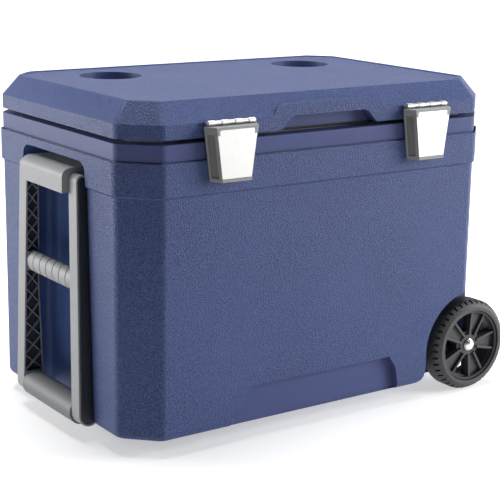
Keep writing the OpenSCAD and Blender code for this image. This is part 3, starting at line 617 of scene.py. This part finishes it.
def brow():
    """The upright raised panel over the finger recess."""
    high = shoulder_z + 14 * MM
    points = [(centre.x - 92 * MM, shoulder_z - 6 * MM), (centre.x + 92 * MM, shoulder_z - 6 * MM),
              (centre.x + 88 * MM, shoulder_z), (centre.x + 76 * MM, high - 3.5 * MM),
              (centre.x + 66 * MM, high), (centre.x - 66 * MM, high),
              (centre.x - 76 * MM, high - 3.5 * MM), (centre.x - 88 * MM, shoulder_z)]
    return prism(points, 0, 2, 1, front_y + 0.02 * MM, 18 * MM)


CUP_R = 42.5 * MM
CUP_DEEP = 18 * MM
CUP_FROM_BACK = 108 * MM
CUP_FROM_END = 130 * MM


def cup_well(x):
    """A cup holder's tapered bowl, with a flared mouth above the lid."""
    y = centre.y + half_w - CUP_FROM_BACK
    bottom = lid_top - CUP_DEEP
    bm = bmesh.new()
    bmesh.ops.create_cone(bm, cap_ends=True, segments=72, radius1=CUP_R - 2 * MM, radius2=CUP_R,
                          depth=CUP_DEEP)
    bmesh.ops.translate(bm, vec=(x, y, bottom + CUP_DEEP / 2), verts=bm.verts)
    round_edges(bm, edges_at(bm, 2, bottom), 5 * MM, 4)
    mouth = face_at(bm, 2, lid_top)
    bmesh.ops.inset_region(bm, faces=mouth, thickness=0.5 * MM, use_even_offset=True)
    bmesh.ops.translate(bm, vec=(0, 0, 5 * MM), verts=mouth[0].verts)
    return bm


def make_lid():
    """The grained shell: upright edge, sloping shoulders, sunken top, brow and cup holders."""
    bm = plan_block(0, lid_z, shoulder_z)
    top = face_at(bm, 2, shoulder_z)
    bmesh.ops.inset_region(bm, faces=top, thickness=slope_in, use_even_offset=True)
    bmesh.ops.translate(bm, vec=(0, 0, lid_top - shoulder_z), verts=top[0].verts)
    bm.normal_update()
    round_edges(bm, corner_edges(bm), corner_round, 4)
    piece = bare_object(bm, "lid_outer_shell", GRAINED, SATIN)
    combine(piece, "UNION", brow())
    cup_x = half_l - CUP_FROM_END
    combine(piece, "DIFFERENCE", lift_recess(), cup_well(centre.x - cup_x), cup_well(centre.x + cup_x),
            index=1)
    soften(piece, 2.0 * MM, 3, 24)
    border, sunk = 6 * MM, 0.9 * MM
    combine(piece, "DIFFERENCE", plan_block(-slope_in - border, lid_top - sunk, lid_top + border))

    def open_bottom(mesh):
        low = [f for f in mesh.faces if f.normal.z < -0.99 and f.calc_center_median().z < lid_z + 0.1 * MM]
        bmesh.ops.delete(mesh, geom=low, context="FACES")

    edit(piece, open_bottom)
    thicken(piece, 3 * MM, -1)
    finish_piece(piece, "lid", ["lid_shell"])


make_tub()
make_band()
make_liner()
make_lid()


# ---------------------------------------------------------------- latches

LATCH_BACK, LATCH_FRONT, LATCH_TAPER = 77 * MM, 61 * MM, 18 * MM


def latch_half(node, width, z):
    """Half a latch's width at a height: the frame narrows towards its foot."""
    low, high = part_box(node)
    return width / 2 - LATCH_TAPER / 2 * (high.z - z) / (high.z - low.z)


def latch_side(node, sign, deep, z, out):
    """A place on a latch's sloping side: deep runs from 0 at the back to 1 at the front."""
    low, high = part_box(node)
    width = LATCH_BACK + (LATCH_FRONT - LATCH_BACK) * deep
    x = middle(node).x + sign * (latch_half(node, width, z) + out)
    return x, high.y + (low.y - high.y) * deep, z


def side_pocket(node, sign):
    """The shallow pocket in a latch frame's side."""
    low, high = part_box(node)
    z0, z1 = low.z + 5 * MM, high.z - 9 * MM
    near, far, sunk = 0.2, 0.78, 2.2 * MM
    ends = [(near, z0), (far, z0), (far, z1), (near, z1)]
    return wedge([latch_side(node, sign, deep, z, -sunk) for deep, z in ends]
                 + [latch_side(node, sign, deep, z, PAST) for deep, z in ends])


def front_outline(node, z0, z1, inset):
    """The tapered outline of a latch's front between two heights."""
    x = middle(node).x
    low, high = (latch_half(node, LATCH_FRONT, z) - inset for z in (z0, z1))
    return [(x - low, z0), (x + low, z0), (x + high, z1), (x - high, z1)]


LATCH_BAR = 3.4 * MM


def tab_outline(node):
    """The bar over the plate's top edge and the rounded tabs at its ends."""
    x, top = middle(node).x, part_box(node)[1].z
    leg, tab, fillet = 4.4 * MM, 10 * MM, 3 * MM
    inner = [(leg + fillet * (1 - math.cos(a)), LATCH_BAR + fillet * (1 - math.sin(a)))
             for a in (RIGHT_ANGLE * i / 5 for i in range(6))]

    def spot(sign, across, down):
        return x + sign * (latch_half(node, LATCH_FRONT, top - down) - across), top - down

    half = [(0, tab), (leg, tab)] + inner
    left = [spot(-1, u, v) for u, v in half]
    right = [spot(1, u, v) for u, v in reversed(half)]
    return left + right + [spot(1, 0, 0), spot(-1, 0, 0)]


def knuckle_spans(side):
    """Ends along x of the seven knuckles of a latch's hinge row."""
    low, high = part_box(f"latch_strip_{side}")
    pitch = (high.x - low.x) / 7
    return [(low.x + i * pitch, low.x + (i + 1) * pitch) for i in range(7)]


def make_latch_strip(side):
    """The steel strip on the lid, with a rolled row of knuckles round the pin."""
    node = f"latch_strip_{side}"
    low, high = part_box(node)
    pin = middle(f"latch_pin_{side}")
    radius, sheet = 3.5 * MM, 1.3 * MM
    width = high.x - low.x
    flat = box_between((low.x, high.y - sheet, low.z), (high.x, high.y, shoulder_z))
    piece = bare_object(flat, f"latch_hinge_strip_{side}", STEEL)
    tube = disc_profile([(0, 0), (radius, 0), (radius, width), (0, width)], 32,
                        (low.x, pin.y, pin.z), (1, 0, 0))
    combine(piece, "UNION", tube)
    for start, end in knuckle_spans(side)[1::2]:
        combine(piece, "DIFFERENCE", box_between((start, pin.y - 2 * radius, pin.z - 2 * radius),
                                                 (end, high.y - sheet - 0.1 * MM, pin.z + 2 * radius)))
    soften(piece, 0.3 * MM, 2)
    finish_piece(piece, "lid", [node])


def make_latch_frame(side):
    """The moulded frame with pockets in its sides, a bar over the plate and its own knuckles."""
    node = f"latch_frame_{side}"
    low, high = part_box(node)
    plate_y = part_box(f"latch_plate_{side}")[0].y
    pin = middle(f"latch_pin_{side}")
    pin_low, pin_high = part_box(f"latch_pin_{side}")
    keeper_low, keeper_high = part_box(f"latch_keeper_{side}")
    back = low.y + 15.1 * MM
    ends = [(0, low.z), (1, low.z), (1, high.z), (0, high.z)]
    body = wedge([latch_side(node, -1, deep, z, 0) for deep, z in ends]
                 + [latch_side(node, 1, deep, z, 0) for deep, z in ends])
    piece = bare_object(body, f"latch_frame_moulded_{side}", LIGHT_GREY, POCKET, STEEL)
    combine(piece, "DIFFERENCE", side_pocket(node, -1), side_pocket(node, 1), index=1)
    keeper_room = box_between((keeper_low.x - 2 * MM, keeper_low.y - 1.2 * MM, low.z - 1 * MM),
                              (keeper_high.x + 2 * MM, back + 2 * MM, keeper_high.z + 4 * MM))
    combine(piece, "DIFFERENCE", keeper_room)
    lip = front_outline(node, low.z, low.z + 4 * MM, 0)
    front = low.y + 0.5 * MM
    combine(piece, "UNION", prism(tab_outline(node), 0, 2, 1, front, plate_y - front),
            prism(lip, 0, 2, 1, front, plate_y - front))
    soften(piece, 0.7 * MM, 3)
    hole = (pin_high.z - pin_low.z) / 2 + 0.2 * MM
    knuckle_r, gap = 2.8 * MM, 0.3 * MM
    for start, end in knuckle_spans(side)[1::2]:
        a, b = gap, end - start - gap
        ring = [(hole, a), (knuckle_r, a), (knuckle_r, b), (hole, b), (hole, a)]
        add_shells(piece, disc_profile(ring, 32, (start, pin.y, pin.z), (1, 0, 0)), index=2)
    finish_piece(piece, f"latch_{side}", [node])


def make_latch_plate(side):
    """The steel plate in the front of the frame."""
    node = f"latch_frame_{side}"
    low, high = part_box(node)
    plate_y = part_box(f"latch_plate_{side}")[0].y
    outline = front_outline(node, low.z + 4.2 * MM, high.z - LATCH_BAR + 0.4 * MM, 0.9 * MM)
    back = low.y + 0.2 * MM
    piece = bare_object(prism(outline, 0, 2, 1, back, plate_y + 0.45 * MM - back),
                        f"latch_face_plate_{side}", STEEL)
    soften(piece, 0.35 * MM, 3)
    finish_piece(piece, f"latch_{side}", [f"latch_plate_{side}"])


for side in ("left", "right"):
    make_latch_strip(side)
    make_latch_frame(side)
    make_latch_plate(side)


# ---------------------------------------------------------------- pull handle

ARM_T, ARM_IN, ARM_LEN = 21 * MM, 58 * MM, 299 * MM
ARM_TOP, ARM_BOTTOM, ARM_WALL = 9 * MM, 15 * MM, 3 * MM
ARM_LEAN = math.atan2(10.5 * MM, ARM_LEN)
KNEE_Z = -0.55 * ARM_LEN


def arm_points(inset):
    """An arm's side view, with its pivot at the origin."""
    top, bottom = ARM_TOP - inset, ARM_BOTTOM - inset
    turns = [math.pi * i / 16 for i in range(17)]
    return ([(top * math.cos(a), top * math.sin(a)) for a in turns]
            + [(bottom * math.cos(a + math.pi), bottom * math.sin(a + math.pi) - ARM_LEN) for a in turns]
            + [(top, KNEE_Z)])


def arm_left(z):
    """The arm's outer side, as a distance from the pivot line at a height."""
    return -ARM_TOP - (ARM_BOTTOM - ARM_TOP) * z / -ARM_LEN


def arm_right(z):
    """The arm's inner side: straight down to the knee, then widening."""
    return ARM_TOP + (ARM_BOTTOM - ARM_TOP) * max(0, (z - KNEE_Z) / (-ARM_LEN - KNEE_Z))


def arm_pocket(top, bottom, depth):
    """The sunken field between two heights of an arm."""
    inset = ARM_WALL - 0.6 * MM
    knee = [(arm_right(KNEE_Z) - inset, KNEE_Z)] if bottom < KNEE_Z < top else []
    points = ([(arm_left(top) + inset, top), (arm_right(top) - inset, top)] + knee
              + [(arm_right(bottom) - inset, bottom), (arm_left(bottom) + inset, bottom)])
    return prism(points, 0, 2, 1, -2 * MM, depth + 2 * MM)


def crossed_ribs(top, bottom, depth):
    """Pairs of thin ribs that cross in an arm's pocket."""
    count = round((top - bottom) / (22 * MM))
    pitch = (top - bottom) / count
    half = 0.75 * MM
    ribs = []
    for i in range(count):
        z0, z1 = top - i * pitch, top - (i + 1) * pitch
        for a, b in ((z0, z1), (z1, z0)):
            points = [(arm_left(a) + 1 * MM, a - half), (arm_right(b) - 1 * MM, b - half),
                      (arm_right(b) - 1 * MM, b + half), (arm_left(a) + 1 * MM, a + half)]
            ribs.append(prism(points, 0, 2, 1, 0.3 * MM, depth))
    return ribs


def make_arm(side, sign):
    """A lattice arm, modelled upright at the origin and then put in its leaning place."""
    node, pin_node = f"handle_arm_{side}", f"pivot_pin_{side}"
    pin = middle(pin_node)
    pin_low, pin_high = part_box(pin_node)
    depth = 5 * MM
    grip_z = middle("middle_grip").z - pin.z
    grip_pad = 13 * MM
    spans = [(-ARM_TOP - 4 * MM, grip_z + grip_pad), (grip_z - grip_pad, -ARM_LEN + ARM_BOTTOM + 2 * MM)]
    piece = bare_object(prism(arm_points(0), 0, 2, 1, 0, ARM_T), f"handle_arm_moulded_{side}",
                        LIGHT_GREY, CHARCOAL_AND_PAINTED_SHADE)
    cover_pocket = prism(arm_points(ARM_WALL - 0.1 * MM), 0, 2, 1, ARM_T - 2.7 * MM, 4 * MM)
    combine(piece, "DIFFERENCE", cover_pocket)
    soften(piece, 0.9 * MM, 3)
    # The pockets' faces take the charcoal paint as painted shade: the arm is grey plastic throughout, dark
    # in its pockets only from shade.
    for top, bottom in spans:
        combine(piece, "DIFFERENCE", arm_pocket(top, bottom, depth), index=1)
    hole, length = (pin_high.z - pin_low.z) / 2 + 0.7 * MM, ARM_T + 4 * MM
    combine(piece, "DIFFERENCE", disc_profile([(0, 0), (hole, 0), (hole, length), (0, length)], 24,
                                              (0, -2 * MM, 0), (0, 1, 0)))
    for top, bottom in spans:
        add_shells(piece, *crossed_ribs(top, bottom, depth))
    place = (Matrix.Translation((pin.x, centre.y, pin.z)) @ Matrix.Diagonal((1, sign, 1, 1))
             @ Matrix.Translation((0, ARM_IN, 0)) @ Matrix.Rotation(ARM_LEAN, 4, "X"))

    def put(mesh):
        bmesh.ops.transform(mesh, matrix=place, verts=mesh.verts)
        bmesh.ops.recalc_face_normals(mesh, faces=mesh.faces)

    edit(piece, put)
    finish_piece(piece, "pull_handle", [node])


def make_middle_grip():
    """An oval bar of rounded segments."""
    low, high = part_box("middle_grip")
    radius = (high.z - low.z) / 2
    count, length = 7, high.y - low.y
    pitch = length / count
    groove = [(1.8 * MM, 0.1 * MM), (1.6 * MM, 0.5 * MM), (0.35 * MM, 0.8 * MM), (0, 2 * MM)]
    points = [(0, 0)]
    for i in range(count):
        start, end = i * pitch, (i + 1) * pitch
        points += [(radius - down, start + along) for down, along in groove]
        points += [(radius - down, end - along) for down, along in reversed(groove)]
    points.append((0, length))
    bm = disc_profile(points, 56, (0, 0, 0), (0, 1, 0))
    bmesh.ops.scale(bm, vec=((high.x - low.x) / (high.z - low.z), 1, 1), verts=bm.verts)
    bmesh.ops.translate(bm, vec=(middle("middle_grip").x, low.y, middle("middle_grip").z), verts=bm.verts)
    piece = bare_object(bm, "middle_grip_ribbed", LIGHT_GREY)
    finish_piece(piece, "pull_handle", ["middle_grip"], 50)


make_arm("front", -1)
make_arm("rear", 1)
make_middle_grip()


# ---------------------------------------------------------------- wheels

SPOKES = 5
HUB_SUNK = 5 * MM


def make_rim(side, sign):
    """A rim with five sunken webs, each between two ribs, and open between the webs."""
    node = f"wheel_rim_{side}"
    hub = middle(node)
    low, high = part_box(node)
    face = high.y if sign > 0 else low.y
    radius = (high.z - low.z) / 2
    width = high.y - low.y
    place, inward = (hub.x, face, hub.z), (0, -sign, 0)
    bore, hub_r = 6.6 * MM, 17 * MM
    web_r, web_front, web_back = radius - 2 * MM, 7 * MM, 17 * MM
    open_in, open_out = hub_r + 4 * MM, radius - 6 * MM
    web = [(bore, web_front), (web_r, web_front), (web_r, web_back), (bore, web_back), (bore, web_front)]
    piece = bare_object(disc_profile(web, 80, place, inward), f"wheel_rim_moulded_{side}", WHEEL)

    def spot(r, angle):
        return hub.x + r * math.cos(angle), hub.z + r * math.sin(angle)

    openings, ribs = [], []
    for k in range(SPOKES):
        turn = math.tau * (k + 0.5) / SPOKES
        edge = [(open_in, -13)] + [(open_out, a) for a in range(-18, 19, 9)] + [(open_in, 13)]
        points = [spot(r, turn + math.radians(a)) for r, a in edge]
        openings.append(prism(points, 0, 2, 1, face, -sign * width))
        for way in (-1, 1):
            inner = Vector(spot(hub_r - 2 * MM, turn + way * math.radians(17)))
            outer = Vector(spot(radius - 3 * MM, turn + way * math.radians(21)))
            across = (outer - inner).normalized().orthogonal() * 1.9 * MM
            outline = [inner - across, outer - across, outer + across, inner + across]
            rib = prism([tuple(p) for p in outline], 0, 2, 1, face - sign * 2.5 * MM, -sign * 12 * MM)
            round_edges(rib, [e for e in rib.edges if not leaning(e, 1)], 0.8 * MM, 2)
            ribs.append(rib)
    combine(piece, "DIFFERENCE", *openings)
    soften(piece, 0.8 * MM, 2)
    ring_in, ring_face = radius - 3.6 * MM, 0.2 * MM
    ring = [(ring_in, 1.4 * MM), (ring_in + 1 * MM, ring_face), (radius - 1.2 * MM, ring_face),
            (radius, 1.6 * MM), (radius, width), (ring_in, width), (ring_in, 1.4 * MM)]
    hub_loop = [(bore, HUB_SUNK), (hub_r - 2 * MM, HUB_SUNK), (hub_r, HUB_SUNK + 2 * MM), (hub_r, width),
                (bore, width), (bore, HUB_SUNK)]
    add_shells(piece, disc_profile(ring, 96, place, inward), disc_profile(hub_loop, 64, place, inward),
               *ribs)
    finish_piece(piece, f"wheel_{side}", [node])


def make_cap(side, sign):
    """A domed plated cap in the sunken hub, over the axle's end."""
    node = f"axle_cap_{side}"
    low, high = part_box(node)
    rim_low, rim_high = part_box(f"wheel_rim_{side}")
    face = rim_high.y if sign > 0 else rim_low.y
    radius = (high.z - low.z) / 2
    points = [(0, -2.6 * MM), (radius * 0.35, -2.4 * MM), (radius * 0.65, -1.7 * MM),
              (radius * 0.85, -0.6 * MM), (radius * 0.93, 0.6 * MM), (radius * 0.93, 1.4 * MM),
              (radius, 1.8 * MM), (radius, 3.2 * MM), (0, 3.2 * MM)]
    start = HUB_SUNK - 3.4 * MM
    place = (middle(node).x, face - sign * start, middle(node).z)
    piece = bare_object(disc_profile(points, 48, place, (0, -sign, 0)), f"axle_cap_domed_{side}", BRIGHT)
    finish_piece(piece, "tub", [node], 50)


for side, sign in (("front", -1), ("rear", 1)):
    make_rim(side, sign)
    make_cap(side, sign)


# ---------------------------------------------------------------- CAD solids that stay

STAYING = [
    (FOAM, ["body_foam", "lid_foam"]),
    (STEEL, ["hinge_pin_left", "hinge_pin_right", "latch_pin_left", "latch_pin_right",
             "hinge_body_screws", "hinge_lid_screws", "bracket_screws", "pivot_pin_front",
             "pivot_pin_rear", "grip_rod", "wheel_washer_front", "wheel_washer_rear"]),
    (BRIGHT, ["axle"]),
    (RUBBER, ["drain_washer"]),
]
for paint, nodes in STAYING:
    for node in nodes:
        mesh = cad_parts[node].data
        mesh.materials.clear()
        mesh.materials.append(paint)

for side in ("front", "rear"):
    rounded_copy(f"foot_{side}", "tub", RUBBER, 1.5 * MM)
    # The arm covers take the charcoal paint as painted shade: the arm's outer side is grey plastic in the
    # recess wall's shade.
    rounded_copy(f"arm_cover_{side}", "pull_handle", CHARCOAL_AND_PAINTED_SHADE, 0.8 * MM)
    rounded_copy(f"tyre_{side}", f"wheel_{side}", TREAD, 0.8 * MM)
for side in ("left", "right"):
    rounded_copy(f"hinge_body_leaf_{side}", "tub", CHARCOAL_AND_PAINTED_SHADE, 0.6 * MM)
    rounded_copy(f"hinge_lid_leaf_{side}", "lid", CHARCOAL_AND_PAINTED_SHADE, 0.6 * MM)
    rounded_copy(f"latch_keeper_{side}", "tub", LIGHT_GREY, 0.6 * MM)
rounded_copy("handle_bracket", "tub", LIGHT_GREY, 2 * MM, 3)
rounded_copy("tow_grip", "pull_handle", MID_GREY, 1.2 * MM)
rounded_copy("lid_liner", "lid", WHITE, 1.5 * MM)
rounded_copy("lid_gasket", "lid", RUBBER, 1.5 * MM)
rounded_copy("drain_fitting", "tub", MID_GREY, 0.6 * MM)
rounded_copy("drain_plug", "drain_plug", CHARCOAL_AND_PAINTED_SHADE, 0.8 * MM)


# ---------------------------------------------------------------- floor, light, camera

TOWARDS_WALL = (0.57, 0.82, 0)    # from the main camera to the wall behind the cooler
SKY_GLOW = 0.05


def make_floor():
    """A pale round floor that curves up to a wall and glows to white behind the cooler."""
    profile = [(0, 0), (11, 0), (12.2, 0.3), (13, 1.2), (13.2, 5), (13.5, 5), (13.5, -0.3), (0, -0.3)]
    bm = disc_profile(profile, 96, (0, 0, 0), (0, 0, 1))
    paint = Paint("pale_floor", roughness=0.8, specular=0.1)
    mottle = paint.noise(paint.place(), 3, 2.0)
    paint.set("Base Color", paint.blend(mottle, (0.62, 0.62, 0.625), (0.64, 0.64, 0.645)))
    behind = paint.node("ShaderNodeVectorMath", {"operation": "DOT_PRODUCT"},
                        {0: paint.place(), 1: TOWARDS_WALL}, 1)
    paint.set("Emission Color", paint.ramp(behind * 0.25 + 0.5, (0.3, 0.14), (0.75, 1.0)))
    paint.set("Emission Strength", 1.0)
    bare_object(bm, "studio_floor", paint.material)


def make_light(name, place, aim, size, power):
    """A rectangular softbox that faces a place."""
    data = bpy.data.lights.new(name, "AREA")
    data.shape = "RECTANGLE"
    data.size, data.size_y = size
    data.energy = power
    lamp = bpy.data.objects.new(name, data)
    bpy.context.collection.objects.link(lamp)
    lamp.location = place
    lamp.rotation_euler = (Vector(aim) - Vector(place)).to_track_quat("-Z", "Y").to_euler()


def make_world():
    """A faint white surround, and plain colour output."""
    world = bpy.data.worlds.new("studio")
    world.use_nodes = True
    background = world.node_tree.nodes["Background"]
    background.inputs["Color"].default_value = (1.0, 1.0, 1.0, 1)
    background.inputs["Strength"].default_value = SKY_GLOW
    bpy.context.scene.world = world
    bpy.context.scene.view_settings.view_transform = "Standard"


def make_camera():
    """The camera stands off the handle end and the front, looking slightly down."""
    eye = Vector((centre.x - 1.092, centre.y - 1.586, floor_gap + 0.644))
    yaw, pitch, roll = (math.radians(degrees) for degrees in (34.91, 13.71, 0.87))
    forward = Vector((math.sin(yaw) * math.cos(pitch), math.cos(yaw) * math.cos(pitch), -math.sin(pitch)))
    level = Vector((math.cos(yaw), -math.sin(yaw), 0))
    upward = level.cross(forward)
    right = math.cos(roll) * level + math.sin(roll) * upward
    up = -math.sin(roll) * level + math.cos(roll) * upward
    data = bpy.data.cameras.new("camera")
    data.sensor_width = 36
    data.lens = 101.4
    camera = bpy.data.objects.new("camera", data)
    bpy.context.collection.objects.link(camera)
    turn = Matrix((right, up, -forward)).transposed().to_4x4()
    camera.matrix_world = Matrix.Translation(eye) @ turn
    bpy.context.scene.camera = camera


make_floor()
make_world()
# name, place, aim, size and power in watts
SOFTBOXES = [
    ("left_softbox", (-2.2, 2.0, 0.62), (0, 0, 0.2), (1.5, 1.1), 80),
    ("right_softbox", (2.4, -1.7, 1.0), (0, 0, 0.25), (1.5, 1.5), 106),
    ("top_softbox", (0.1, 0.3, 2.7), (0, 0, 0.3), (1.8, 1.8), 104),
]
for softbox in SOFTBOXES:
    make_light(*softbox)
make_camera()
